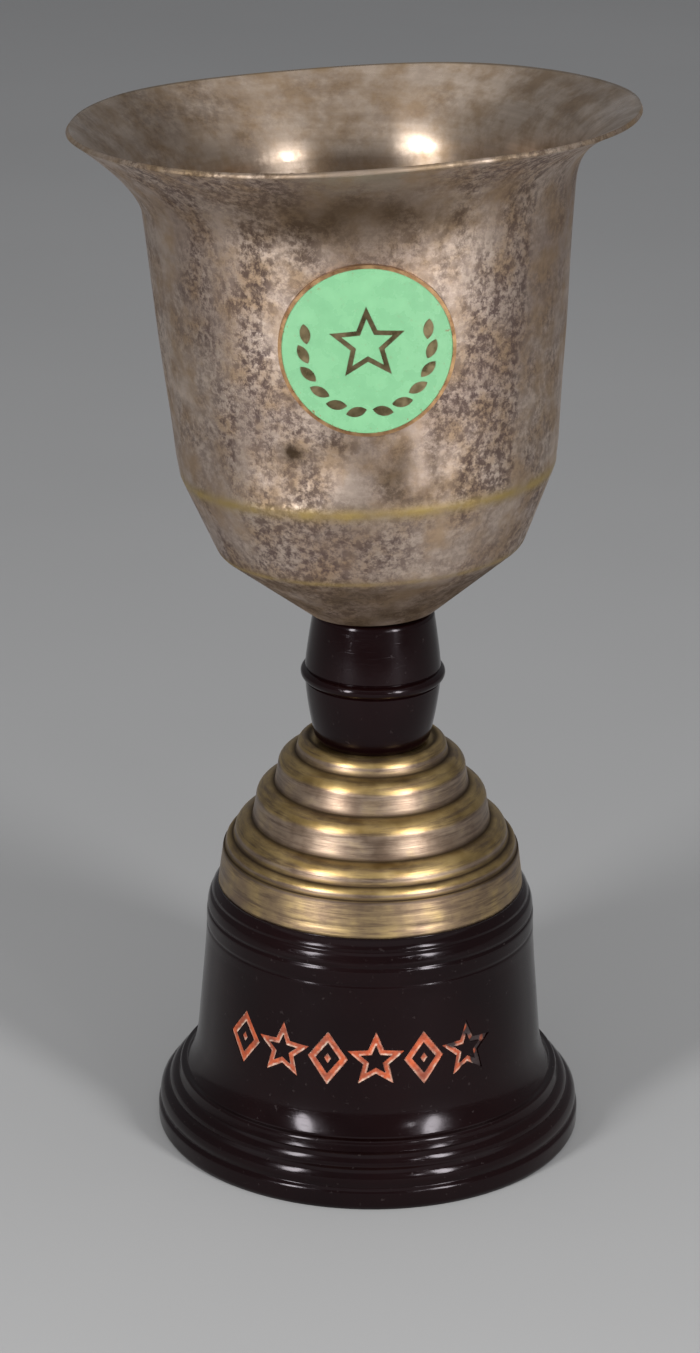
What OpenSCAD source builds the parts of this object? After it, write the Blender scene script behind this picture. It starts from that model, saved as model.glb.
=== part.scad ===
// Cup trophy: a spun metal cup on a moulded knop, a stepped dome and a hollow bell-shaped base,
// all clamped together by one threaded rod. Millimetres, +Z up, origin at the centre of the foot.
// The cup stands a few degrees out of true on its knop, as it has been knocked.

/* [Base] */
// Largest radius of the foot
foot_r = 45.6; // [44.8:0.1:46.5]
// Height of the moulded base up to the seat of the dome
base_h = 56.1; // [55:0.1:57]
// Thickness of the base's side wall
base_wall = 3.4; // [2.8:0.1:4.2]
// Thickness of the base's top plate
base_plate = 5; // [4:0.1:7]
// Number of ribs under the top plate
rib_count = 6; // [3:1:8]

/* [Dome] */
// Outer radius of the dome's skirt where it meets the base
dome_r = 32.5; // [32:0.1:32.8]
// Thickness of the spun dome
dome_t = 0.9; // [0.7:0.1:1.2]

/* [Knop] */
// Height of the knop between the dome and the cup
knop_h = 28.9; // [26:0.1:31]
// Largest radius of the knop's body
knop_r = 14.4; // [13.5:0.1:15]
// How far the middle bead stands out
knop_bead = 0.8; // [0.4:0.1:1.2]

/* [Cup] */
// Height of the cup from its seat on the knop to the lip
cup_h = 103.3; // [98:0.1:110]
// Outer radius of the lip
lip_r = 57.9; // [54:0.1:60]
// Thickness of the spun cup
cup_t = 1; // [0.8:0.1:1.3]
// Lean of the cup towards -X, in degrees
lean_side = 2.8; // [0:0.1:4]
// Lean of the cup towards +Y, in degrees
lean_back = 2.4; // [0:0.1:4]

/* [Badge] */
// Radius of the round badge
badge_r = 17.4; // [15:0.1:18.5]
// Height of the badge's centre above the cup's seat
badge_up = 65.4; // [63:0.1:67]
// Turn of the badge from straight ahead, in degrees
badge_turn = 2; // [-5:0.5:5]
// Width of the badge's raised rim
badge_rim = 0.7; // [0.5:0.1:1.2]

/* [Ornament] */
// Height of each engraved figure
figure_h = 11.8; // [9:0.1:12.2]
// Height of the middle of the figures above the foot
figure_z = 30; // [28:0.1:31]
// Number of engraved figures
figure_count = 6; // [4:1:6]
// Angle between one figure and the next, in degrees
figure_step = 16.2; // [15.5:0.1:17]
// Turn of the row's middle from straight ahead, in degrees
figure_turn = -5.5; // [-20:0.5:20]
// Width of the engraved strokes
stroke = 1.4; // [1:0.1:1.6]
// Depth of the engraving
groove_d = 0.6; // [0.4:0.1:0.9]

/* [Hardware] */
// Radius of the tie rod's shank
rod_r = 3; // [2.5:0.1:3.2]
// Radius of the tie rod's threaded ends
thread_r = 2.75; // [2.3:0.05:2.9]
// Width across the flats of both nuts
nut_flats = 10; // [9:0.5:11]

/* [Hidden] */
$fn = 96;

hole_r = rod_r + 0.3;               // clearance hole for the rod
nut_hole_r = thread_r + 0.05;
nut_r = nut_flats / 2 / cos(30);    // nut radius across its corners
knop_z = base_h + 32.2;             // seat of the knop on the dome
cup_z = knop_z + knop_h;            // seat of the cup on the knop
plate_z = base_h - base_plate;      // underside of the base's top plate

// Points of an elliptical corner about c, from angle a0 to a1.
function corner(c, rx, rz, a0, a1, n = 6) =
    [for (i = [0:n]) let (a = a0 + (a1 - a0) * i / n) c + [rx * cos(a), rz * sin(a)]];

// The outward direction at a point between two others of an outline that climbs on the outside.
function out_of(a, b) = let (d = (b - a) / norm(b - a)) [d[1], -d[0]];
function miter(p, i) =
    let (n = len(p),
         before = i == 0 ? out_of(p[0], p[1]) : out_of(p[i - 1], p[i]),
         after = i == n - 1 ? before : out_of(p[i], p[i + 1]))
    (before + after) / (1 + before * after);

// The outline moved inwards by t, which makes the inner side of a wall.
function inset(p, t) = [for (i = [0:len(p) - 1]) p[i] - t * miter(p, i)];

module spin() { rotate_extrude() children(); }

// A solid of revolution from an outline that climbs on the outside.
module turned(outline, floor_z) {
    spin() polygon(concat([[0, floor_z]], outline, [[0, outline[len(outline) - 1][1]]]));
}

// ---- Base ----------------------------------------------------------------

// Outer side of the base: foot band, two rolls, a lip, the flared bell and its shoulder.
// The wall behind the frieze is one straight cone, with no edge for a figure's corner to meet.
bell_side = [
    [foot_r - 6.2, 13.5], [foot_r - 7.4, 15.6], [foot_r - 8.2, 18], [foot_r - 8.6, 20.5],
    [foot_r - 10.1, 38], [foot_r - 10.5, 44]
];
base_side = concat(
    [[foot_r - 0.5, 0], [foot_r, 0.8], [foot_r, 4], [foot_r - 0.6, 4.8]],
    corner([foot_r - 2.3, 5.9], 1.9, 2.9, 0, 85),
    corner([foot_r - 4.4, 9], 2, 2.4, 0, 85),
    corner([foot_r - 5.3, 12.6], 0.6, 0.9, 0, 90, 3),
    bell_side,
    corner([foot_r - 14.2, 48.6], 3.6, base_h - 48.6, 0, 70, 7),
    [[dome_r + 0.3, base_h]]
);
base_hollow = concat(
    [[foot_r - 4.6, -1], [foot_r - 4.6, 3], [foot_r - 8, 12]],
    inset(bell_side, base_wall),
    corner([foot_r - 17.4, plate_z - 4], 3.4, 4, 0, 90)
);
spigot_r = dome_r - dome_t - 0.6;
spigot_h = 1.6;
boss_r = 11;
rib_t = 2.2;

module base_body() {
    difference() {
        union() {
            difference() {
                turned(base_side, 0);
                turned(base_hollow, -1);
            }
            // spigot that centres the dome
            translate([0, 0, base_h - 1]) cylinder(r = spigot_r, h = spigot_h + 1);
            // ribs from the boss to the side wall, under the plate
            for (i = [0:rib_count - 1])
                rotate([0, 0, (i + 0.5) * 360 / rib_count])
                    translate([boss_r - 1, -rib_t / 2, plate_z - 12])
                        cube([foot_r - 12 - boss_r, rib_t, 13]);
            translate([0, 0, plate_z - 3]) cylinder(r = boss_r, h = 4);
        }
        translate([0, 0, plate_z - 4]) cylinder(r = hole_r, h = base_plate + spigot_h + 5);
        // the washer's and nut's recess in the boss
        translate([0, 0, plate_z - 4]) cylinder(r = boss_r - 1.6, h = 4);
    }
}

// The frieze alternates outlined lozenges and outlined stars, drawn in the plane of the wall.
module star(r) {
    polygon([for (i = [0:9]) let (a = 90 + i * 36, d = i % 2 == 0 ? r : r * 0.45)
        [d * cos(a), d * sin(a)]]);
}
module lozenge(w, h) { polygon([[0, -h / 2], [w / 2, 0], [0, h / 2], [-w / 2, 0]]); }
module figure_2d(i) {
    if (i % 2 == 0) {
        difference() {
            lozenge(figure_h * 0.74, figure_h);
            lozenge(figure_h * 0.74 - stroke * 2.4, figure_h - stroke * 3.4);
        }
        lozenge(1.6, 2.4);
    } else {
        difference() {
            star(figure_h * 0.54);
            star(figure_h * 0.54 - stroke * 2.05);
        }
    }
}

// The figures as prisms that run out through the front wall.
module figure_prisms() {
    for (i = [0:figure_count - 1])
        rotate([0, 0, figure_turn + (i - (figure_count - 1) / 2) * figure_step])
            translate([0, -foot_r + 15, figure_z])
                rotate([90, 0, 0]) linear_extrude(height = 12) figure_2d(i);
}

// The wall under the figures, moved inwards by t.
module wall_core(t) {
    side = inset(bell_side, t);
    turned([for (i = [3:5]) side[i]], side[3][1]);
}

module base() {
    color([0.13, 0.07, 0.07])
    difference() {
        base_body();
        difference() {
            figure_prisms();
            wall_core(groove_d);
        }
    }
}

module base_inlay() {
    color([0.78, 0.3, 0.14])
    intersection() {
        figure_prisms();
        difference() {
            wall_core(0.15);
            wall_core(groove_d);
        }
    }
}

// ---- Hardware under the base ---------------------------------------------

washer_t = 1.2;
lock_t = 1.5;
nut_t = 5;
lock_z = plate_z - washer_t - lock_t;

module washer(r, t) {
    difference() {
        cylinder(r = r, h = t);
        translate([0, 0, -1]) cylinder(r = hole_r, h = t + 2);
    }
}

module base_washer() {
    color([0.6, 0.6, 0.58])
    translate([0, 0, plate_z - washer_t]) washer(9, washer_t);
}

module lock_washer() {
    color([0.5, 0.5, 0.48])
    translate([0, 0, lock_z])
        difference() {
            washer(5, lock_t);
            rotate([0, 0, 40]) translate([0, -0.5, -1]) cube([8, 1, lock_t + 2]);
        }
}

module hex_nut(t) {
    difference() {
        intersection() {
            cylinder(r = nut_r, h = t, $fn = 6);
            // chamfered corners
            spin() polygon([[0, 0], [nut_r - 0.7, 0], [nut_r, 0.6], [nut_r, t - 0.6], [nut_r - 0.7, t], [0, t]]);
        }
        translate([0, 0, -1]) cylinder(r = nut_hole_r, h = t + 2);
    }
}

module base_nut() {
    color([0.68, 0.62, 0.42])
    translate([0, 0, lock_z - nut_t]) hex_nut(nut_t);
}

// ---- Dome ----------------------------------------------------------------

// Foot radius and height of each step, from the skirt up; heights count from the base's top.
steps = [
    [dome_r, 0], [dome_r - 1.3, 7.9], [dome_r - 3.1, 10.2], [dome_r - 7.2, 14.2],
    [dome_r - 11.9, 22.2], [dome_r - 16.3, 29.3]
];
// How far each step draws in up its flank, and the height of its round shoulder.
draws = [1, 0.3, 0.4, 0.8, 0.7, 0.4];
shoulders = [0.4, 1.6, 3, 3.5, 3.3, 2];
seat = [dome_r - 19.6, 32.2];

function step_points(i) =
    let (foot = steps[i],
         next = i == len(steps) - 1 ? crest : steps[i + 1],
         rx = foot[0] - draws[i] - next[0])
    concat([foot], corner([next[0], next[1] - shoulders[i]], rx, shoulders[i], 0, 75, 5));

crest = [seat[0] + 0.4, seat[1] + 0.5];
dome_side = [for (p = concat([for (i = [0:len(steps) - 1]) each step_points(i)], [crest])) p + [0, base_h]];

module dome_cover() {
    color([0.72, 0.6, 0.36])
    difference() {
        spin() difference() {
            polygon(concat([[0, base_h]], dome_side, [[seat[0], knop_z], [0, knop_z]]));
            polygon(concat([[0, base_h - 1]],
                [dome_side[0] - [dome_t, 1]],
                inset(dome_side, dome_t),
                [[0, knop_z - dome_t]]));
        }
        translate([0, 0, knop_z - 5]) cylinder(r = hole_r, h = 10);
    }
}

module dome_spacer() {
    color([0.55, 0.55, 0.55])
    translate([0, 0, base_h + spigot_h])
        difference() {
            cylinder(r = 8, h = knop_z - dome_t - base_h - spigot_h);
            translate([0, 0, -1]) cylinder(r = hole_r, h = 40);
        }
}

// ---- Knop ----------------------------------------------------------------

bead_up = 15;                 // middle of the bead above the knop's foot
function belly(d, drop, reach, bend) = knop_r - drop * pow(abs(d) / reach, bend);

knop_side = concat(
    [for (i = [0:7]) let (z = i * (bead_up - 1.7) / 7) [belly(bead_up - z, 2.3, bead_up, 1.6) - 0.1, z]],
    [[knop_r - 0.55, bead_up - 1.45]],
    corner([knop_r - 0.3, bead_up], knop_bead + 0.3, 1.25, -80, 80, 8),
    [[knop_r - 0.45, bead_up + 1.45]],
    [for (i = [0:7]) let (z = bead_up + 1.75 + i * (knop_h - bead_up - 2.3) / 7)
        [belly(z - bead_up, 1.8, knop_h - bead_up, 1.25), z]],
    [[knop_r - 2.2, knop_h]]
);

module knop() {
    color([0.1, 0.05, 0.06])
    translate([0, 0, knop_z])
        difference() {
            turned(knop_side, 0);
            translate([0, 0, -1]) cylinder(r = hole_r + 0.1, h = knop_h + 2);
        }
}

// ---- Cup -----------------------------------------------------------------

// Everything fixed to the cup is drawn upright, with its height counted from the seat, and leaned here.
module lean() {
    translate([0, 0, cup_z]) rotate([-lean_back, -lean_side, 0]) children();
}

neck_r = 13.2;
low_ridge = [31.7, 14.4];
high_ridge = [38.7, 30.8];
wall_foot = [40.1, 44.1];
wall_top = [lip_r - 14, cup_h - 16.5];
function wall_r(z) =
    wall_foot[0] + (wall_top[0] - wall_foot[0]) * (z - wall_foot[1]) / (wall_top[1] - wall_foot[1]);

cup_side = concat(
    [[neck_r, 0], low_ridge - [0.5, 0.4], low_ridge + [0.25, 0.5], high_ridge - [0.3, 0.6],
     high_ridge + [0.1, 0.5], [high_ridge[0] + 0.75, high_ridge[1] + 4.5], wall_foot, wall_top],
    [for (i = [1:10]) let (t = i / 10) wall_top + [14 * pow(t, 1.6), 16.5 * t]]
);

pin_x = 9;
pin_r = 1;
module pin_places() {
    rotate([0, 0, badge_turn])
        for (x = [-pin_x, pin_x]) translate([x, 0, badge_up]) rotate([90, 0, 0]) children();
}

module cup_bowl() {
    color([0.66, 0.62, 0.57])
    difference() {
        lean()
            difference() {
                spin() difference() {
                    polygon(concat([[0, -1.5], [neck_r, -1.5]], cup_side, [[0, cup_h]]));
                    intersection() {
                        polygon(concat([[0, -2]], inset(cup_side, cup_t), [[lip_r, cup_h + 1], [0, cup_h + 1]]));
                        translate([0, cup_t]) square([80, cup_h + 10]);
                    }
                }
                translate([0, 0, -5]) cylinder(r = hole_r, h = 10);
                pin_places() translate([0, 0, 20]) cylinder(r = pin_r + 0.05, h = 40);
            }
        // the neck is dressed flat on the knop
        translate([-50, -50, cup_z - 20]) cube([100, 100, 20]);
    }
}

cup_washer_t = 1.4;
module cup_washer() {
    color([0.72, 0.58, 0.32])
    lean() translate([0, 0, cup_t]) washer(9.5, cup_washer_t);
}

module cup_nut() {
    color([0.75, 0.64, 0.4])
    lean() translate([0, 0, cup_t + cup_washer_t])
        difference() {
            union() {
                cylinder(r = nut_r, h = 4.6, $fn = 6);
                translate([0, 0, 4])
                    intersection() {
                        sphere(r = nut_flats / 2 - 0.3);
                        cylinder(r = 10, h = 10);
                    }
            }
            translate([0, 0, -1]) cylinder(r = nut_hole_r, h = 7);
        }
}

module tie_rod() {
    color([0.6, 0.58, 0.52])
    union() {
        translate([0, 0, plate_z + 1]) cylinder(r = rod_r, h = cup_z - plate_z - 1);
        translate([0, 0, lock_z - nut_t - 3]) cylinder(r = thread_r, h = 20);
        // the upper end is bent over with the cup
        intersection() {
            lean() translate([0, 0, -3]) cylinder(r = thread_r - 0.25, h = 10);
            translate([-20, -20, cup_z - 0.5]) cube([40, 40, 30]);
        }
    }
}

// ---- Badge ---------------------------------------------------------------

plate_t = 0.8;
enamel_t = 0.5;

// A band wrapped round the cup's wall, from a to b outside it.
module wrapped(a, b) {
    lo = badge_up - 20;
    hi = badge_up + 20;
    spin() polygon([[wall_r(lo) + a, lo], [wall_r(lo) + b, lo], [wall_r(hi) + b, hi], [wall_r(hi) + a, hi]]);
}

// A flat drawing, run out through the front of the cup at the badge's place.
module through_front() {
    rotate([0, 0, badge_turn]) translate([0, -25, badge_up])
        rotate([90, 0, 0]) linear_extrude(height = 30) children();
}

// A star between two sprays of leaves.
leaf_ring = badge_r * 0.72;
module leaf() {
    intersection() {
        translate([0, -1.6]) circle(r = 2.6);
        translate([0, 1.6]) circle(r = 2.6);
    }
}
module emblem_2d() {
    translate([0, 1.4]) difference() {
        star(badge_r * 0.44);
        star(badge_r * 0.44 - 2.4);
    }
    for (side = [-1, 1])
        for (i = [0:5])
            rotate(-90 + side * (12 + i * 19))
                translate([leaf_ring, 0]) rotate(90 - side * 24) leaf();
}

module badge_plate() {
    color([0.62, 0.42, 0.24])
    lean() union() {
        intersection() {
            wrapped(0, plate_t);
            through_front() circle(r = badge_r);
        }
        intersection() {
            wrapped(plate_t / 2, plate_t + enamel_t + 0.2);
            through_front() difference() {
                circle(r = badge_r);
                circle(r = badge_r - badge_rim);
            }
        }
        intersection() {
            wrapped(plate_t / 2, plate_t + enamel_t + 0.1);
            through_front() emblem_2d();
        }
    }
}

module badge_enamel() {
    color([0.6, 0.85, 0.64])
    lean() intersection() {
        wrapped(plate_t, plate_t + enamel_t);
        through_front() difference() {
            circle(r = badge_r - badge_rim);
            emblem_2d();
        }
    }
}

// Two pins soldered to the plate's back, turned over inside the cup.
module badge_pins() {
    color([0.7, 0.42, 0.28])
    lean() pin_places() {
        wall_y = sqrt(pow(wall_r(badge_up), 2) - pow(pin_x, 2));
        translate([0, 0, wall_y - cup_t - 0.6]) cylinder(r = pin_r, h = cup_t + 0.6);
        translate([0, 0, wall_y - cup_t - 1.4]) cylinder(r = 2.2, h = 1);
    }
}

// ---- Assembly ------------------------------------------------------------

base();
base_inlay();
base_washer();
lock_washer();
base_nut();
dome_cover();
dome_spacer();
knop();
tie_rod();
cup_bowl();
cup_washer();
cup_nut();
badge_plate();
badge_enamel();
badge_pins();
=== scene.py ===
import math

import bmesh
import bpy
from mathutils import Matrix, Vector, noise


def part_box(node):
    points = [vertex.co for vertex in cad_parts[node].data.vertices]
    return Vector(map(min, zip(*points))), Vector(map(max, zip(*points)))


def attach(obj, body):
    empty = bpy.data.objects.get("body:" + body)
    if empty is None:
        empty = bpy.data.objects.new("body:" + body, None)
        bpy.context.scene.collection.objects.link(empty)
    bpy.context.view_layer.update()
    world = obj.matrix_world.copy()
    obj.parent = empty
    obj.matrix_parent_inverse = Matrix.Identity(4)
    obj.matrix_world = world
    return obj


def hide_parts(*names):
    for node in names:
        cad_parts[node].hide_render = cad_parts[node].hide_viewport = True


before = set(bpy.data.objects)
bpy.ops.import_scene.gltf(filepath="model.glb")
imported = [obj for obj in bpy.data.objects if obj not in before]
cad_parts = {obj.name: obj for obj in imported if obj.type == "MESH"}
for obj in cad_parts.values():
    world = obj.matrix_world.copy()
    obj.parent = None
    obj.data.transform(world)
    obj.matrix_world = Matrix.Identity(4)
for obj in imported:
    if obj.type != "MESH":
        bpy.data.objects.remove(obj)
scene = bpy.context.scene
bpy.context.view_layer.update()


# Camera: it stands in front of the trophy, above the lip, and looks down at it with a long lens.
camera_place = (0, -0.8, 0.4038)
looking_down = 0.361
camera_data = bpy.data.cameras.new("camera")
camera_data.sensor_fit = "HORIZONTAL"
camera_data.sensor_width = 36
camera_data.lens = 209.3
camera = bpy.data.objects.new("camera", camera_data)
camera.matrix_world = (
    Matrix.Translation(camera_place)
    @ Matrix.Rotation(0.006, 4, "Z")
    @ Matrix.Rotation(math.radians(90) - looking_down, 4, "X")
    @ Matrix.Rotation(0.010, 4, "Z")
)
scene.collection.objects.link(camera)
scene.camera = camera


# Base: a hollow bell moulded in near-black maroon phenolic, with a rolled foot, turned lines on
# its shoulder, ribs and a boss under its top plate, and a frieze cut into the front of the wall.
mm = 0.001
foot_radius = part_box("base")[1].x / mm
base_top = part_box("dome_cover")[0].z / mm
plate_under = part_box("base_washer")[1].z / mm
dome_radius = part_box("dome_cover")[1].x / mm
rod_hole = 3.3
boss_hole = 9.4
foot_ring = foot_radius - 4.6
wall_thickness = 3.4


def roll(middle, half_width, half_height, first, last, steps=12):
    """Points of an upright ellipse, from one angle to another in degrees."""
    angles = [math.radians(first + (last - first) * i / steps) for i in range(steps + 1)]
    return [
        (middle[0] + half_width * math.cos(a), middle[1] + half_height * math.sin(a), 0)
        for a in angles
    ]


def eased_outline(corners, longest, closed=False):
    """Rounds each corner (radius, height, easing) and splits the long runs between them."""
    count = len(corners)
    eased = []
    for i, (x, z, ease) in enumerate(corners):
        here = Vector((x, z))
        if ease == 0 or (not closed and i in (0, count - 1)):
            eased.append(here)
            continue
        before = Vector(corners[i - 1][:2]) - here
        after = Vector(corners[(i + 1) % count][:2]) - here
        reach = min(ease, before.length * 0.48, after.length * 0.48)
        start = here + before.normalized() * reach
        end = here + after.normalized() * reach
        for k in range(7):
            t = k / 6
            eased.append(start * (1 - t) ** 2 + here * 2 * t * (1 - t) + end * t ** 2)
    line = []
    last = len(eased) if closed else len(eased) - 1
    for i in range(last):
        a = eased[i]
        b = eased[(i + 1) % len(eased)]
        cuts = max(1, math.ceil((b - a).length / longest))
        line += [a.lerp(b, k / cuts) for k in range(cuts)]
    if not closed:
        line.append(eased[-1])
    return line


def turned_shape(outline, steps, closed=False):
    """Spins an outline in millimetres round the upright axis, with its faces turned outwards."""
    shape = bmesh.new()
    points = [shape.verts.new((p[0] * mm, 0, p[1] * mm)) for p in outline]
    edges = [shape.edges.new(pair) for pair in zip(points, points[1:])]
    if closed:
        edges.append(shape.edges.new((points[-1], points[0])))
    bmesh.ops.spin(
        shape, geom=points + edges, cent=(0, 0, 0), axis=(0, 0, 1),
        angle=math.tau, steps=steps, use_merge=True,
    )
    bmesh.ops.remove_doubles(shape, verts=shape.verts, dist=1e-6)
    bmesh.ops.recalc_face_normals(shape, faces=shape.faces)
    if not closed:
        middle = sum((v.co for v in shape.verts), Vector()) / len(shape.verts)
        facing_out = sum(
            f.normal.dot(f.calc_center_median() - middle) * f.calc_area() for f in shape.faces
        )
        if facing_out < 0:
            bmesh.ops.reverse_faces(shape, faces=shape.faces)
    return shape


def finished_piece(shape, name, replaced, materials, crease=38):
    mesh = bpy.data.meshes.new(name)
    for face in shape.faces:
        face.smooth = True
    shape.to_mesh(mesh)
    shape.free()
    mesh.set_sharp_from_angle(angle=math.radians(crease))
    for material in materials:
        mesh.materials.append(material)
    piece = bpy.data.objects.new(name, mesh)
    scene.collection.objects.link(piece)
    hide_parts(*replaced)
    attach(piece, "root")
    return piece


def new_finish(name):
    material = bpy.data.materials.new(name)
    material.use_nodes = True
    return material, material.node_tree, material.node_tree.nodes["Principled BSDF"]


def add_node(tree, kind, inputs, **settings):
    made = tree.nodes.new(kind)
    for key, value in settings.items():
        setattr(made, key, value)
    for key, value in inputs.items():
        if isinstance(value, bpy.types.NodeSocket):
            tree.links.new(value, made.inputs[key])
        else:
            made.inputs[key].default_value = value
    return made


def object_place(tree, scale=(1, 1, 1), shift=(0, 0, 0)):
    place = tree.nodes.new("ShaderNodeTexCoord").outputs["Object"]
    mapped = add_node(tree, "ShaderNodeMapping", {"Vector": place, "Scale": scale, "Location": shift})
    return mapped.outputs["Vector"]


def patches(tree, place, size, low, high, detail=4, rough=0.55):
    """Random patches about size metres across, as 0 below low and 1 above high."""
    cloud = add_node(
        tree, "ShaderNodeTexNoise",
        {"Vector": place, "Scale": 1 / size, "Detail": detail, "Roughness": rough},
    )
    ranged = add_node(
        tree, "ShaderNodeMapRange",
        {"Value": cloud.outputs["Fac"], "From Min": low, "From Max": high},
    )
    return ranged.outputs["Result"]


def painted_mark(tree, name):
    return add_node(tree, "ShaderNodeAttribute", {}, attribute_name=name).outputs["Fac"]


def combine(tree, how, a, b):
    return add_node(tree, "ShaderNodeMath", {0: a, 1: b}, operation=how).outputs["Value"]


def mix_colour(tree, share, a, b):
    mixed = add_node(tree, "ShaderNodeMix", {0: share, 6: a, 7: b}, data_type="RGBA")
    return mixed.outputs[2]


def ranged_value(tree, share, low, high):
    ranged = add_node(tree, "ShaderNodeMapRange", {"Value": share, "To Min": low, "To Max": high})
    return ranged.outputs["Result"]


def raised(tree, shader, height, depth):
    bump = add_node(tree, "ShaderNodeBump", {"Height": height, "Distance": depth, "Strength": 1.0})
    tree.links.new(bump.outputs["Normal"], shader.inputs["Normal"])


def moulding_finish():
    material, tree, shader = new_finish("maroon_moulding")
    place = object_place(tree)
    clouding = patches(tree, place, 0.03, 0.35, 0.7)
    dust = patches(tree, place, 0.0011, 0.68, 0.76, detail=2)
    rubbed = patches(tree, place, 0.009, 0.42, 0.72, detail=6)
    scratches = patches(tree, object_place(tree, scale=(1, 1, 9)), 0.004, 0.6, 0.75, detail=8)
    body = mix_colour(tree, clouding, (0.0034, 0.0009, 0.0010, 1), (0.0062, 0.0017, 0.0018, 1))
    dusty = combine(tree, "MULTIPLY", dust, 0.1)
    colour = mix_colour(tree, dusty, body, (0.12, 0.10, 0.095, 1))
    dulled = combine(tree, "MULTIPLY", dust, 0.2)
    worn = combine(tree, "ADD", ranged_value(tree, rubbed, 0.13, 0.22), dulled)
    tree.links.new(colour, shader.inputs["Base Color"])
    tree.links.new(worn, shader.inputs["Roughness"])
    shader.inputs["Specular IOR Level"].default_value = 0.17
    shader.inputs["Specular Tint"].default_value = (0.97, 0.88, 0.96, 1)
    shader.inputs["Coat Weight"].default_value = 0.06
    shader.inputs["Coat Roughness"].default_value = 0.09
    raised(tree, shader, scratches, 0.000012)
    return material


moulding = moulding_finish()

bell_wall = [
    (foot_radius - 6.2, 13.5, 0.5), (foot_radius - 7.4, 15.6, 1.2), (foot_radius - 8.2, 18, 1.2),
    (foot_radius - 8.6, 20.5, 1.5), (foot_radius - 10.1, 38, 3), (foot_radius - 10.5, 44, 3),
]
foot_and_bell = (
    [(foot_radius - 0.5, 0, 0.3), (foot_radius, 0.8, 0.5), (foot_radius, 4, 0.4)]
    + [(foot_radius - 0.7, 4.8, 0.15)]
    + roll((foot_radius - 2.3, 5.9), 1.9, 2.9, 0, 85)
    + roll((foot_radius - 4.4, 9), 2, 2.4, 0, 85)
    + roll((foot_radius - 5.3, 12.6), 0.6, 0.9, 0, 90, 6)
    + bell_wall
)
shoulder = roll((foot_radius - 14.2, 48.6), 3.6, base_top - 48.6, 0, 70, 24)
turned_lines = [(46.4, 0.16, 0.35), (50.2, 0.3, 0.4), (53.5, 0.34, 0.45)]


def with_lines(outline, lines):
    """Sinks fine turned lines (height, depth, half width) into an outline."""
    cut = []
    for p in outline:
        sunk = sum(d * math.exp(-(((p[1] - z) / w) ** 2)) for z, d, w in lines)
        cut.append(Vector((p[0] - sunk, p[1])))
    return cut


outer = eased_outline(foot_and_bell, 1.3)
wall_end = (outer[-1].x, outer[-1].y, 0)
outer += with_lines(eased_outline([wall_end] + shoulder, 0.22)[1:], turned_lines)
inner_wall = [(x - wall_thickness, z, 0.8) for x, z, _ in reversed(bell_wall[2:])]
under = eased_outline(
    [(outer[-1].x, outer[-1].y, 0), (dome_radius + 0.2, base_top, 0.2)]
    + [(dome_radius - 1.5, base_top, 0.1), (dome_radius - 1.5, base_top + 1.6, 0.2)]
    + [(rod_hole, base_top + 1.6, 0.1), (rod_hole, plate_under, 0.1)]
    + [(boss_hole, plate_under, 0.2), (boss_hole, plate_under - 3, 0.3)]
    + [(11, plate_under - 3, 0.3), (11, plate_under, 0.6), (foot_radius - 14.4, plate_under, 3.2)]
    + inner_wall
    + [(foot_radius - 8, 12, 1.5), (foot_ring, 3, 1), (foot_ring, 0, 0.3)],
    2.5,
)
bell = turned_shape(outer + under[1:], 224, closed=True)

# The frieze: outlined lozenges and outlined stars in turn, set out round the front of the bell.
frieze_height = 30.0
frieze_middle = -5.5
frieze_spacing = 16.2
frieze_turns = [frieze_middle + (i - 2.5) * frieze_spacing for i in range(6)]
frieze_depth = 0.6
frieze_wall = -33.5


def star_points(radius):
    reach = [radius if i % 2 == 0 else radius * 0.45 for i in range(10)]
    turns = [math.radians(90 + i * 36) for i in range(10)]
    return [(d * math.cos(a), d * math.sin(a)) for d, a in zip(reach, turns)]


def lozenge_points(width, height):
    return [(0, -height / 2), (width / 2, 0), (0, height / 2), (-width / 2, 0)]


def inside(point, corners):
    crossed = False
    for (ax, ay), (bx, by) in zip(corners, corners[1:] + corners[:1]):
        if (ay > point[1]) != (by > point[1]):
            crossed ^= point[0] < (bx - ax) * (point[1] - ay) / (by - ay) + ax
    return crossed


def figure_lines(i):
    if i % 2 == 0:
        return [lozenge_points(8.7, 11.8), lozenge_points(5.1, 6.7), lozenge_points(1.6, 2.4)]
    return [star_points(6.4), star_points(3.3)]


def in_figure_window(face, turn):
    """The face's place (across, up) in a figure's own plane, if it is on the outer wall there."""
    at = Matrix.Rotation(-turn, 4, "Z") @ face.calc_center_median()
    across = at.x / mm
    up = at.z / mm - frieze_height
    if at.y > frieze_wall * mm or abs(across) > 7.2 or abs(up) > 7:
        return None
    return (across, up)


for i, degrees in enumerate(frieze_turns):
    turn = math.radians(degrees)
    upright = Matrix.Rotation(turn, 4, "Z")
    for corners in figure_lines(i):
        for (ax, ay), (bx, by) in zip(corners, corners[1:] + corners[:1]):
            near = [f for f in bell.faces if in_figure_window(f, turn)]
            geometry = list({v for f in near for v in f.verts})
            geometry += list({e for f in near for e in f.edges}) + near
            bmesh.ops.bisect_plane(
                bell, geom=geometry, dist=1e-7,
                plane_co=upright @ Vector((ax * mm, 0, (ay + frieze_height) * mm)),
                plane_no=upright.to_3x3() @ Vector((by - ay, 0, ax - bx)).normalized(),
            )
sunk_faces = []
for face in bell.faces:
    for i, degrees in enumerate(frieze_turns):
        at = in_figure_window(face, math.radians(degrees))
        if at and sum(inside(at, corners) for corners in figure_lines(i)) % 2 == 1:
            sunk_faces.append(face)
            break

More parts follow.
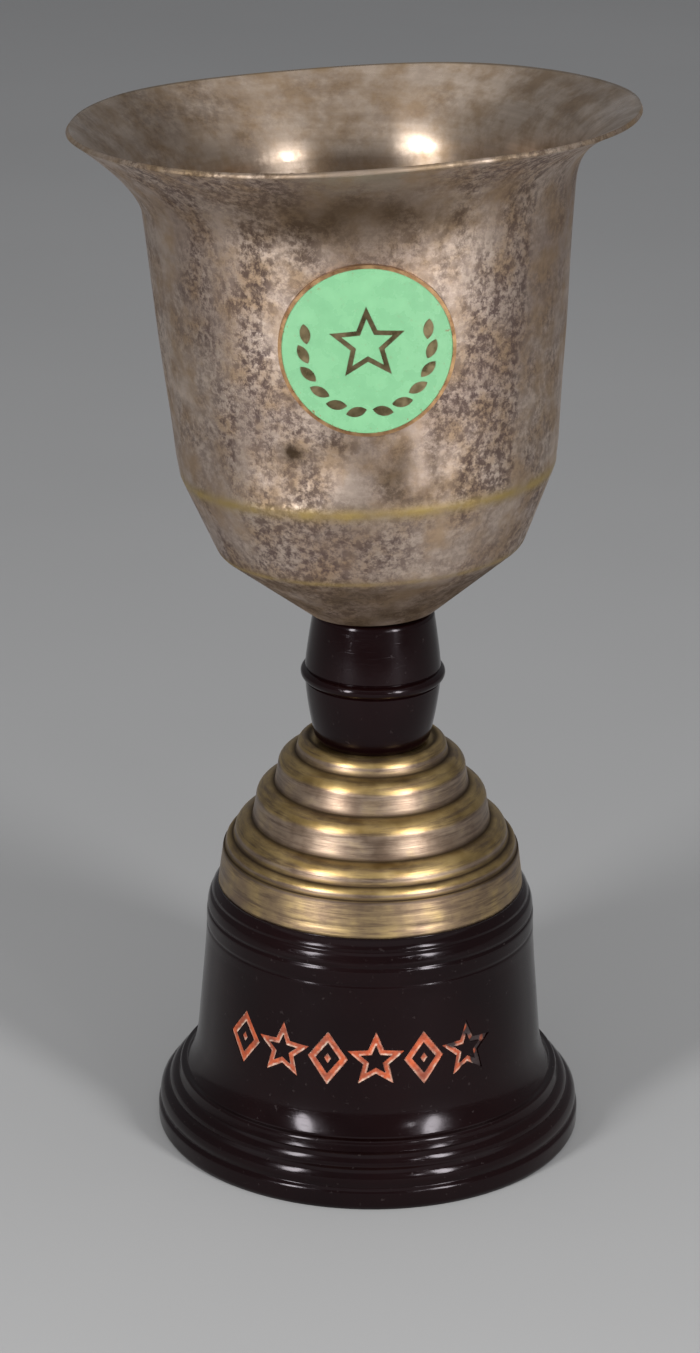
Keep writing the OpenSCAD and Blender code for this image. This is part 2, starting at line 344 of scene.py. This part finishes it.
bell.faces.index_update()
figure_numbers = {f.index for f in sunk_faces}
paint = bell.copy()
bmesh.ops.delete(
    paint, geom=[f for i, f in enumerate(paint.faces) if i not in figure_numbers], context="FACES"
)
sunk = bmesh.ops.extrude_face_region(bell, geom=sunk_faces)
bmesh.ops.delete(bell, geom=[f for f in sunk_faces if f.is_valid], context="FACES")
for vertex in [v for v in sunk["geom"] if isinstance(v, bmesh.types.BMVert)]:
    across = Vector((vertex.co.x, vertex.co.y, 0))
    vertex.co -= across.normalized() * frieze_depth * mm

for i in range(6):
    rib = bmesh.ops.create_cube(bell, size=1)["verts"]
    bmesh.ops.scale(bell, vec=(22.4 * mm, 2.2 * mm, 12.4 * mm), verts=rib)
    bmesh.ops.translate(bell, vec=(21.4 * mm, 0, (plate_under - 5.6) * mm), verts=rib)
    rib_edges = list({e for v in rib for e in v.link_edges})
    rounded = bmesh.ops.bevel(
        bell, geom=rib_edges, offset=0.4 * mm, segments=2, profile=0.5, affect="EDGES", material=-1
    )
    rib_points = list({v for f in rounded["faces"] for v in f.verts})
    bmesh.ops.rotate(
        bell, verts=rib_points, cent=(0, 0, 0), matrix=Matrix.Rotation(math.radians(i * 60 + 30), 3, "Z")
    )
finished_piece(bell, "bell_base", ["base"], [moulding])


# Frieze paint: thick orange filler wiped into the cuts, pale where its lower and right edges
# have chipped, and mostly lost from the last figure.
def filler_finish():
    material, tree, shader = new_finish("chipped_filler")
    place = object_place(tree)
    grain = patches(tree, place, 0.0012, 0.35, 0.7, detail=6)
    dirt = patches(tree, place, 0.0035, 0.42, 0.62, detail=6)
    breaks = patches(tree, place, 0.0016, 0.3, 0.62, detail=5)
    edge = painted_mark(tree, "chipped")
    bare = painted_mark(tree, "lost")
    orange = mix_colour(tree, grain, (0.34, 0.050, 0.012, 1), (0.54, 0.098, 0.024, 1))
    soiled = mix_colour(tree, combine(tree, "MULTIPLY", dirt, 0.6), orange, (0.11, 0.030, 0.018, 1))
    chips = combine(tree, "MULTIPLY", edge, breaks)
    chipped = mix_colour(tree, chips, soiled, (0.76, 0.65, 0.52, 1))
    colour = mix_colour(tree, bare, chipped, (0.022, 0.010, 0.010, 1))
    tree.links.new(colour, shader.inputs["Base Color"])
    tree.links.new(ranged_value(tree, grain, 0.48, 0.72), shader.inputs["Roughness"])
    raised(tree, shader, grain, 0.00006)
    return material


bmesh.ops.remove_doubles(paint, verts=paint.verts, dist=1e-7)
bmesh.ops.triangulate(paint, faces=paint.faces)
for _ in range(2):
    long_edges = [e for e in paint.edges if e.calc_length() > 0.3 * mm]
    bmesh.ops.subdivide_edges(paint, edges=long_edges, cuts=1)
    bmesh.ops.triangulate(paint, faces=paint.faces)
chipped = paint.verts.layers.float.new("chipped")
lost = paint.verts.layers.float.new("lost")


def side_distance(point, corners):
    """Distance to an outline, and whether its nearest side faces down or to the right."""
    nearest = (9.0, 0.0)
    here = Vector(point)
    for a, b in zip(corners, corners[1:] + corners[:1]):
        start = Vector(a)
        along = Vector(b) - start
        share = max(0, min(1, (here - start).dot(along) / along.length_squared))
        away = start + along * share - here
        facing = 0.0 if away.length < 1e-6 else (away.x * 0.5 - away.y * 0.86) / away.length
        nearest = min(nearest, (away.length, facing))
    return nearest


for vertex in paint.verts:
    degrees = math.degrees(math.atan2(vertex.co.x, -vertex.co.y))
    i = min(range(6), key=lambda k: abs(frieze_turns[k] - degrees))
    at = Matrix.Rotation(-math.radians(frieze_turns[i]), 4, "Z") @ vertex.co
    point = (at.x / mm, at.z / mm - frieze_height)
    distance, facing = min(side_distance(point, corners) for corners in figure_lines(i))
    ragged = noise.noise(vertex.co * 1400) * 0.18
    near_edge = max(0, 1 - max(0, distance + ragged) / 0.5)
    vertex[chipped] = near_edge * max(0.05, min(1, 0.35 + facing * 1.3))
    if i == 5:
        worn = noise.noise(vertex.co * 420) * 1.6 + point[0] * 0.2 + 0.15
        vertex[lost] = max(0, min(1, worn * 3))
    outward = Vector((vertex.co.x, vertex.co.y, 0)).normalized()
    depth = frieze_depth * 0.4 + noise.noise(vertex.co * 900) * 0.08 + vertex[lost] * 0.24
    vertex.co -= outward * depth * mm
finished_piece(paint, "frieze_paint", ["base_inlay"], [filler_finish()])


# Dome: spun brass in five round steps and a skirt. Its silver plate has worn through to yellow
# brass on the shoulders, which is also a painted highlight where they face up. It is near-black in the
# creases.
def spun_round(tree, shader, amount):
    """Stretches reflections up and down, as fine turning marks round the upright axis do."""
    round_axis = add_node(tree, "ShaderNodeTangent", {}, direction_type="RADIAL", axis="Z")
    tree.links.new(round_axis.outputs["Tangent"], shader.inputs["Tangent"])
    shader.inputs["Anisotropic"].default_value = amount
    shader.inputs["Anisotropic Rotation"].default_value = 0.25


def dome_finish():
    material, tree, shader = new_finish("worn_spun_brass")
    place = object_place(tree)
    streaks = patches(tree, object_place(tree, scale=(1, 1, 14)), 0.012, 0.46, 0.64, detail=8, rough=0.7)
    hairlines = patches(tree, object_place(tree, scale=(1, 1, 40)), 0.02, 0.3, 0.7, detail=6)
    mottle = patches(tree, place, 0.006, 0.35, 0.65, detail=6)
    crown_brass_and_highlight = painted_mark(tree, "crown_brass_and_highlight")
    crease = painted_mark(tree, "crease")
    plate = mix_colour(tree, mottle, (0.29, 0.205, 0.145, 1), (0.43, 0.33, 0.245, 1))
    brass = mix_colour(tree, mottle, (0.37, 0.245, 0.09, 1), (0.51, 0.365, 0.16, 1))
    # Brass share: plate worn through on the shoulders, and also a painted highlight where the surface
    # faces up.
    worn = add_node(
        tree, "ShaderNodeMapRange",
        {"Value": combine(tree, "ADD", crown_brass_and_highlight, combine(tree, "MULTIPLY", mottle, 0.35)),
         "From Min": 0.35, "From Max": 0.85},
    ).outputs["Result"]
    metal = mix_colour(tree, worn, plate, brass)
    streaked = mix_colour(tree, combine(tree, "MULTIPLY", streaks, 0.75), metal, (0.15, 0.10, 0.075, 1))
    # Near-black in the creases.
    colour = mix_colour(tree, crease, streaked, (0.045, 0.028, 0.018, 1))
    tree.links.new(colour, shader.inputs["Base Color"])
    grimy = combine(tree, "MULTIPLY", crease, 0.3)
    rough = combine(tree, "ADD", ranged_value(tree, mottle, 0.34, 0.46), grimy)
    tree.links.new(rough, shader.inputs["Roughness"])
    shader.inputs["Metallic"].default_value = 1
    spun_round(tree, shader, 0.4)
    raised(tree, shader, hairlines, 0.00002)
    return material


knop_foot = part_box("knop")[0].z / mm
step_feet = [(0, 0), (1.3, 7.9), (3.1, 10.2), (7.2, 14.2), (11.9, 22.2), (16.3, 29.3), (19.2, 32.7)]
step_draws = [1, 0.3, 0.4, 0.8, 0.7, 0.4]
step_shoulders = [0.4, 1.6, 3, 3.5, 3.3, 2]
dome_line = []
for i, (draw, rise) in enumerate(zip(step_draws, step_shoulders)):
    foot = (dome_radius - step_feet[i][0], base_top + step_feet[i][1])
    upper = (dome_radius - step_feet[i + 1][0], base_top + step_feet[i + 1][1])
    dome_line.append((foot[0], foot[1], 0.25 if i else 0))
    dome_line += roll((upper[0], upper[1] - rise), foot[0] - draw - upper[0], rise, 0, 75, 12)
dome_line += [(dome_radius - 19.6, knop_foot, 0.2), (rod_hole, knop_foot, 0)]
skirt_lines = [(base_top + 2.1, 0.12, 0.25)]
dome = turned_shape(with_lines(eased_outline(dome_line, 0.55), skirt_lines), 216)
crown_brass_and_highlight = dome.verts.layers.float.new("crown_brass_and_highlight")
crease = dome.verts.layers.float.new("crease")
dome.normal_update()
creases = [(dome_radius - inset, base_top + up) for inset, up in step_feet[1:]]
for vertex in dome.verts:
    radius = math.hypot(vertex.co.x, vertex.co.y) / mm
    height = vertex.co.z / mm
    tilt = abs(vertex.normal.z)
    skirt = 0.42 if height < base_top + 7 else 0.0
    # Brass where the surface faces up: worn plating, and also a painted highlight on the upward-facing
    # shoulders.
    vertex[crown_brass_and_highlight] = max(skirt, min(1, (tilt - 0.12) * 2.4))
    near = min(math.hypot(radius - x, height - z) for x, z in creases)
    # Darker the nearer a vertex lies to a crease.
    vertex[crease] = max(0, 1 - near / 1.25)
dome_piece = finished_piece(dome, "stepped_dome", ["dome_cover"], [dome_finish()])
dome_wall = dome_piece.modifiers.new("sheet", "SOLIDIFY")
dome_wall.thickness = 0.9 * mm
dome_wall.offset = -1


# Knop: a solid barrel of the same phenolic, turned with one bead round its middle. It stands
# between the dome and the cup and is held by the rod through it.
knop_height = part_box("knop")[1].z / mm - knop_foot
knop_radius = 14.4
bead_height = 15


def barrel(distance, drop, reach, bend):
    return knop_radius - drop * (abs(distance) / reach) ** bend


knop_line = [(3.4, 0, 0), (barrel(15, 2.3, 15, 1.6) - 0.5, 0, 0.2)]
for i in range(1, 15):
    z = i * (bead_height - 1.7) / 14
    knop_line.append((barrel(bead_height - z, 2.3, bead_height, 1.6) - 0.1, z, 0))
knop_line.append((knop_radius - 0.6, bead_height - 1.35, 0.15))
knop_line += roll((knop_radius - 0.3, bead_height), 1.1, 1.25, -75, 75, 14)
knop_line.append((knop_radius - 0.5, bead_height + 1.35, 0.15))
for i in range(14):
    z = bead_height + 1.75 + i * (knop_height - bead_height - 2.3) / 13
    knop_line.append((barrel(z - bead_height, 1.8, knop_height - bead_height, 1.25), z, 0))
knop_line += [(knop_radius - 2.2, knop_height, 0.3), (3.4, knop_height, 0)]
knop_shape = turned_shape(
    eased_outline([(x, z + knop_foot, ease) for x, z, ease in knop_line], 0.8, closed=True),
    192, closed=True,
)
finished_piece(knop_shape, "beaded_knop", ["knop"], [moulding])


# Cup: spun brass sheet, silver plated, with two creases, a plain wall and a flared lip. The
# plate is pitted and stained, worn to brass on the creases, and the lip and wall are knocked.
# Painted shade darkens the cone at the bottom and the wall just below the badge; it shares the
# stain_and_shade mark and its dark brown with the real stains.
def cup_finish(name, inside_cup):
    material, tree, shader = new_finish(name)
    place = object_place(tree)
    broad = patches(tree, place, 0.028, 0.36, 0.66, detail=5)
    middle = patches(tree, place, 0.0075, 0.42, 0.62, detail=7, rough=0.62)
    upright = object_place(tree, (1, 1, 0.4), (0.3, 0.1, 0))
    clusters = patches(tree, upright, 0.013, 0.34, 0.55, detail=6, rough=0.6)
    grains = patches(tree, place, 0.0016, 0.42, 0.56, detail=8, rough=0.75)
    pits = combine(tree, "MULTIPLY", clusters, grains)
    spun = patches(tree, object_place(tree, scale=(1, 1, 22)), 0.03, 0.3, 0.7, detail=6)
    brass_worn = painted_mark(tree, "brass_worn")
    stain_and_shade = painted_mark(tree, "stain_and_shade")
    clear = painted_mark(tree, "clear_plate")
    plate = [(0.52, 0.41, 0.32, 1), (0.70, 0.57, 0.46, 1)] if inside_cup else [
        (0.40, 0.305, 0.25, 1), (0.62, 0.505, 0.42, 1)
    ]
    mauve = mix_colour(tree, broad, *plate)
    warm = mix_colour(tree, combine(tree, "MULTIPLY", middle, 0.75), mauve, (0.34, 0.225, 0.125, 1))
    pitted = combine(tree, "MULTIPLY", pits, combine(tree, "SUBTRACT", 1.0, clear))
    pitted = combine(tree, "MULTIPLY", pitted, 0.35 if inside_cup else 0.9)
    speckled = mix_colour(tree, pitted, warm, (0.075, 0.046, 0.045, 1))
    lined = mix_colour(tree, combine(tree, "MULTIPLY", spun, 0.35), speckled, (0.20, 0.145, 0.105, 1))
    # Dark brown from the stain_and_shade mark: real stains, and painted shade on the cone and below the
    # badge.
    stain_and_shade_share = combine(tree, "MULTIPLY", stain_and_shade, 0.35 if inside_cup else 0.92)
    browned = mix_colour(tree, stain_and_shade_share, lined, (0.055, 0.033, 0.016, 1))
    colour = mix_colour(tree, brass_worn, browned, (0.36, 0.26, 0.10, 1))
    tree.links.new(colour, shader.inputs["Base Color"])
    smooth = (0.24, 0.33) if inside_cup else (0.40, 0.54)
    roughened = combine(tree, "MULTIPLY", pitted, 0.25)
    rough = combine(tree, "ADD", ranged_value(tree, middle, *smooth), roughened)
    rough = combine(tree, "ADD", rough, combine(tree, "MULTIPLY", stain_and_shade, 0.3))
    tree.links.new(rough, shader.inputs["Roughness"])
    shader.inputs["Metallic"].default_value = 0.9 if inside_cup else 0.85
    spun_round(tree, shader, 0.75 if inside_cup else 0.4)
    relief = combine(tree, "SUBTRACT", combine(tree, "MULTIPLY", spun, 0.35), pitted)
    raised(tree, shader, relief, 0.00003)
    return material


cup_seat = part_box("knop")[1].z / mm
cup_height = 103.3
lip_radius = 57.9
lean = (
    Matrix.Translation((0, 0, cup_seat * mm))
    @ Matrix.Rotation(math.radians(-2.8), 4, "Y")
    @ Matrix.Rotation(math.radians(-2.4), 4, "X")
)
flare_width = 14
flare_height = 16.5
upper_crease = 31
lower_crease = 14.6
wall_foot = (40.1, 44.1)
wall_top = (lip_radius - flare_width, cup_height - flare_height)
cup_corners = [
    (3.3, 0, 0), (13.2, 0, 0.6), (31.2, 14, 0.5), (31.95, 14.9, 0.5), (38.4, 30.2, 0.4),
    (38.8, 31.3, 0.4), (39.45, 35.3, 1.5), (*wall_foot, 3), (*wall_top, 1),
]
wall_slope = (wall_top[0] - wall_foot[0]) / (wall_top[1] - wall_foot[1])
flare_reach = flare_width - wall_slope * flare_height
flare_bend = 1.7
flare = []
for i in range(1, 25):
    t = i / 24
    out = wall_slope * flare_height * t + flare_reach * t ** flare_bend
    flare.append((wall_top[0] + out, wall_top[1] + flare_height * t, 0))
cup = turned_shape(eased_outline(cup_corners + flare, 1.1), 256)
brass_worn = cup.verts.layers.float.new("brass_worn")
stain_and_shade = cup.verts.layers.float.new("stain_and_shade")
clear_plate = cup.verts.layers.float.new("clear_plate")
# Each knock: turn from the front in degrees, height, depth and reach in millimetres.
knocks = [
    (-24, 37.5, 0.75, 6), (-13, 41, 0.5, 4.5), (-34, 46, 0.5, 7), (-52, 40, 0.6, 7),
    (118, 62, 0.7, 9),
]


def bump_at(value, middle, half_width):
    return math.exp(-(((value - middle) / half_width) ** 2))


for vertex in cup.verts:
    radius = math.hypot(vertex.co.x, vertex.co.y) / mm
    height = vertex.co.z / mm
    turn = math.degrees(math.atan2(vertex.co.x, -vertex.co.y))
    outward = Vector((vertex.co.x, vertex.co.y, 0)).normalized()
    patchy = noise.noise(vertex.co * 160)
    fine = noise.noise(vertex.co * 600)
    ridge = bump_at(height, upper_crease, 1.2) + bump_at(height, lower_crease, 0.6) * 0.5
    edge = bump_at(height, cup_height, 0.5) * 0.15
    vertex[brass_worn] = max(0, min(1, (ridge + edge) * (0.85 + patchy * 0.6 + fine * 0.3)))
    lip_brown = 0.3 + 0.75 * bump_at(turn, 0, 32)
    under_lip = lip_brown * bump_at(height, 92.5, 9) * (0.95 + patchy * 0.2)
    # Brown tarnish below the badge, partly a painted shadow under it.
    under_badge_stain_and_shadow = bump_at(turn, 8, 24) * bump_at(height, 41, 10) * (0.4 + patchy * 0.9)
    # Darker towards the bottom, on the cone under the lower crease: painted shade, with a painted dark
    # reflection of the moulding below.
    cone_painted_shade = max(0, min(1, (17 - height) / 5)) * (0.75 + patchy * 0.4)
    spot = bump_at(turn, -21, 3.2) * bump_at(height, 44, 1.8) * 1.2
    vertex[stain_and_shade] = max(0, min(1, under_lip + under_badge_stain_and_shadow + cone_painted_shade + spot))
    bands = bump_at(turn, -33, 20) + bump_at(turn, 38, 18) * 0.9 + bump_at(turn, -120, 30)
    below_ridge = max(0, min(1, (33 - height) / 3)) * 0.4
    vertex[clear_plate] = max(0.0, min(0.85, 0.6 - bands - below_ridge - patchy * 0.6))
    if height > wall_top[1]:
        up = (height - wall_top[1]) / flare_height
        right = max(0, math.cos(math.radians(turn - 80)))
        left = max(0, math.cos(math.radians(turn + 85)))
        bend = flare_bend + 1.5 * right - 0.15 * left
        vertex.co += outward * flare_reach * (up ** bend - up ** flare_bend) * mm
        front = max(0, math.cos(math.radians(turn + 14)))
        wave = 0.3 * math.sin(math.radians(turn * 3 + 40)) + 0.15 * math.sin(math.radians(turn * 5))
        vertex.co.z += up ** 2 * (wave - 0.65 * front) * mm
    if height > 32:
        off_badge = 1 - bump_at(turn, 2, 30) * bump_at(height, 65.4, 22)
        sway = noise.noise(vertex.co * 42) * 0.28 * off_badge
        for where, level, depth, reach in knocks:
            away = math.hypot(math.radians(turn - where) * radius, height - level)
            sway -= depth * math.exp(-((away / reach) ** 2))
        vertex.co += outward * sway * mm
bmesh.ops.transform(cup, matrix=lean, verts=cup.verts)
cup_piece = finished_piece(
    cup, "flared_cup", ["cup_bowl"],
    [cup_finish("pitted_plate", False), cup_finish("inner_plate", True)], crease=60,
)
cup_wall = cup_piece.modifiers.new("sheet", "SOLIDIFY")
cup_wall.thickness = 1 * mm
cup_wall.offset = -1
cup_wall.material_offset = 1


def over_node(name, material):
    """Gives a CAD node that keeps its own shape a new material."""
    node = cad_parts[name]
    node.data.materials.clear()
    node.data.materials.append(material)


badge_low, badge_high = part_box("badge_plate")
badge_middle = (badge_low + badge_high) / 2
badge_radius = (badge_high.x - badge_low.x) / 2


def from_badge_middle(tree):
    """Distance from the badge's middle, measured across its face."""
    flat = object_place(tree, scale=(1, 0, 1), shift=(-badge_middle.x, 0, -badge_middle.z))
    return add_node(tree, "ShaderNodeVectorMath", {0: flat}, operation="LENGTH").outputs["Value"]


def enamel_finish():
    material, tree, shader = new_finish("mint_glass_enamel")
    place = object_place(tree)
    mottle = patches(tree, place, 0.004, 0.3, 0.7, detail=5)
    specks = patches(tree, place, 0.0009, 0.64, 0.70, detail=3)
    near_rim = add_node(
        tree, "ShaderNodeMapRange",
        {"Value": from_badge_middle(tree),
         "From Min": badge_radius * 0.86, "From Max": badge_radius * 0.97},
    ).outputs["Result"]
    mint = mix_colour(tree, mottle, (0.150, 0.37, 0.185, 1), (0.185, 0.43, 0.22, 1))
    grimy = combine(tree, "ADD", combine(tree, "MULTIPLY", near_rim, 0.9), 0.12)
    grime = combine(tree, "MULTIPLY", specks, grimy)
    tree.links.new(mix_colour(tree, grime, mint, (0.24, 0.07, 0.03, 1)), shader.inputs["Base Color"])
    tree.links.new(ranged_value(tree, mottle, 0.2, 0.34), shader.inputs["Roughness"])
    shader.inputs["Coat Weight"].default_value = 0.3
    shader.inputs["Coat Roughness"].default_value = 0.12
    raised(tree, shader, mottle, 0.00002)
    return material


def badge_metal_finish():
    material, tree, shader = new_finish("oxidised_copper")
    place = object_place(tree)
    mottle = patches(tree, place, 0.0022, 0.35, 0.65, detail=6)
    rim = add_node(
        tree, "ShaderNodeMapRange",
        {"Value": from_badge_middle(tree),
         "From Min": badge_radius * 0.925, "From Max": badge_radius * 0.955},
    ).outputs["Result"]
    bronze = mix_colour(tree, mottle, (0.115, 0.090, 0.045, 1), (0.23, 0.18, 0.10, 1))
    copper = mix_colour(tree, mottle, (0.30, 0.155, 0.075, 1), (0.46, 0.29, 0.145, 1))
    tree.links.new(mix_colour(tree, rim, bronze, copper), shader.inputs["Base Color"])
    tree.links.new(ranged_value(tree, mottle, 0.26, 0.46), shader.inputs["Roughness"])
    shader.inputs["Metallic"].default_value = 1
    raised(tree, shader, mottle, 0.00003)
    return material


badge_metal = badge_metal_finish()
over_node("badge_plate", badge_metal)
over_node("badge_enamel", enamel_finish())
over_node("badge_pins", badge_metal)


# Fixings: the steel tie rod, spacer tube and washers, and the brass nuts and cup washer that
# clamp the stack. They are dull, with a little rust and fingering.
def fixing_finish(name, dark, light, aged, low, high):
    material, tree, shader = new_finish(name)
    place = object_place(tree)
    cloud = patches(tree, place, 0.0035, 0.35, 0.68, detail=6)
    spots = patches(tree, place, 0.0012, 0.6, 0.7, detail=5)
    lines = patches(tree, object_place(tree, scale=(1, 1, 12)), 0.002, 0.3, 0.7)
    metal = mix_colour(tree, cloud, dark, light)
    tree.links.new(
        mix_colour(tree, combine(tree, "MULTIPLY", spots, 0.6), metal, aged), shader.inputs["Base Color"]
    )
    tree.links.new(ranged_value(tree, cloud, low, high), shader.inputs["Roughness"])
    shader.inputs["Metallic"].default_value = 1
    raised(tree, shader, lines, 0.00002)
    return material


steel = fixing_finish(
    "dull_steel", (0.30, 0.30, 0.29, 1), (0.46, 0.46, 0.45, 1), (0.16, 0.07, 0.03, 1), 0.34, 0.55
)
brass = fixing_finish(
    "dull_brass", (0.40, 0.30, 0.13, 1), (0.60, 0.47, 0.22, 1), (0.12, 0.10, 0.05, 1), 0.28, 0.48
)
for name in ("tie_rod", "dome_spacer", "base_washer", "lock_washer"):
    over_node(name, steel)
for name in ("base_nut", "cup_nut", "cup_washer"):
    over_node(name, brass)


# Stage: a plain pale floor, a dim room, and two tall oval soft lamps in front, left and right,
# with a small one beside the right lamp and a weaker broad lamp overhead.
def floor_finish():
    material, tree, shader = new_finish("pale_floor")
    cloud = patches(tree, object_place(tree), 0.4, 0.3, 0.7)
    colour = mix_colour(tree, cloud, (0.37, 0.37, 0.37, 1), (0.40, 0.40, 0.40, 1))
    tree.links.new(colour, shader.inputs["Base Color"])
    shader.inputs["Roughness"].default_value = 0.8
    return material


floor_shape = bmesh.new()
bmesh.ops.create_grid(floor_shape, x_segments=1, y_segments=1, size=6)
floor_mesh = bpy.data.meshes.new("floor")
floor_shape.to_mesh(floor_mesh)
floor_shape.free()
floor_mesh.materials.append(floor_finish())
floor = bpy.data.objects.new("floor", floor_mesh)
scene.collection.objects.link(floor)

room = bpy.data.worlds.new("room")
room.use_nodes = True
room.node_tree.nodes["Background"].inputs["Color"].default_value = (0.36, 0.365, 0.38, 1)
room.node_tree.nodes["Background"].inputs["Strength"].default_value = 0.60
scene.world = room
scene.view_settings.view_transform = "Standard"


def add_lamp(name, turn, height, distance, width, length, power, aim):
    lamp_data = bpy.data.lights.new(name, "AREA")
    lamp_data.shape = "ELLIPSE"
    lamp_data.size = width
    lamp_data.size_y = length
    lamp_data.energy = power
    lamp = bpy.data.objects.new(name, lamp_data)
    angle = math.radians(turn)
    place = Vector((math.sin(angle) * distance, -math.cos(angle) * distance, height))
    facing = (Vector((0, 0, aim)) - place).to_track_quat("-Z", "Y")
    lamp.matrix_world = Matrix.Translation(place) @ facing.to_matrix().to_4x4()
    scene.collection.objects.link(lamp)


add_lamp("left_lamp", -40, 0.40, 0.95, 0.18, 0.58, 8.2, 0.2)
add_lamp("right_lamp", 41, 0.40, 0.95, 0.17, 0.58, 8.0, 0.2)
add_lamp("small_lamp", 27, 0.31, 0.95, 0.05, 0.14, 0.45, 0.2)
add_lamp("top_lamp", 0, 1.5, 0.1, 2.6, 2.6, 8, 0.1)
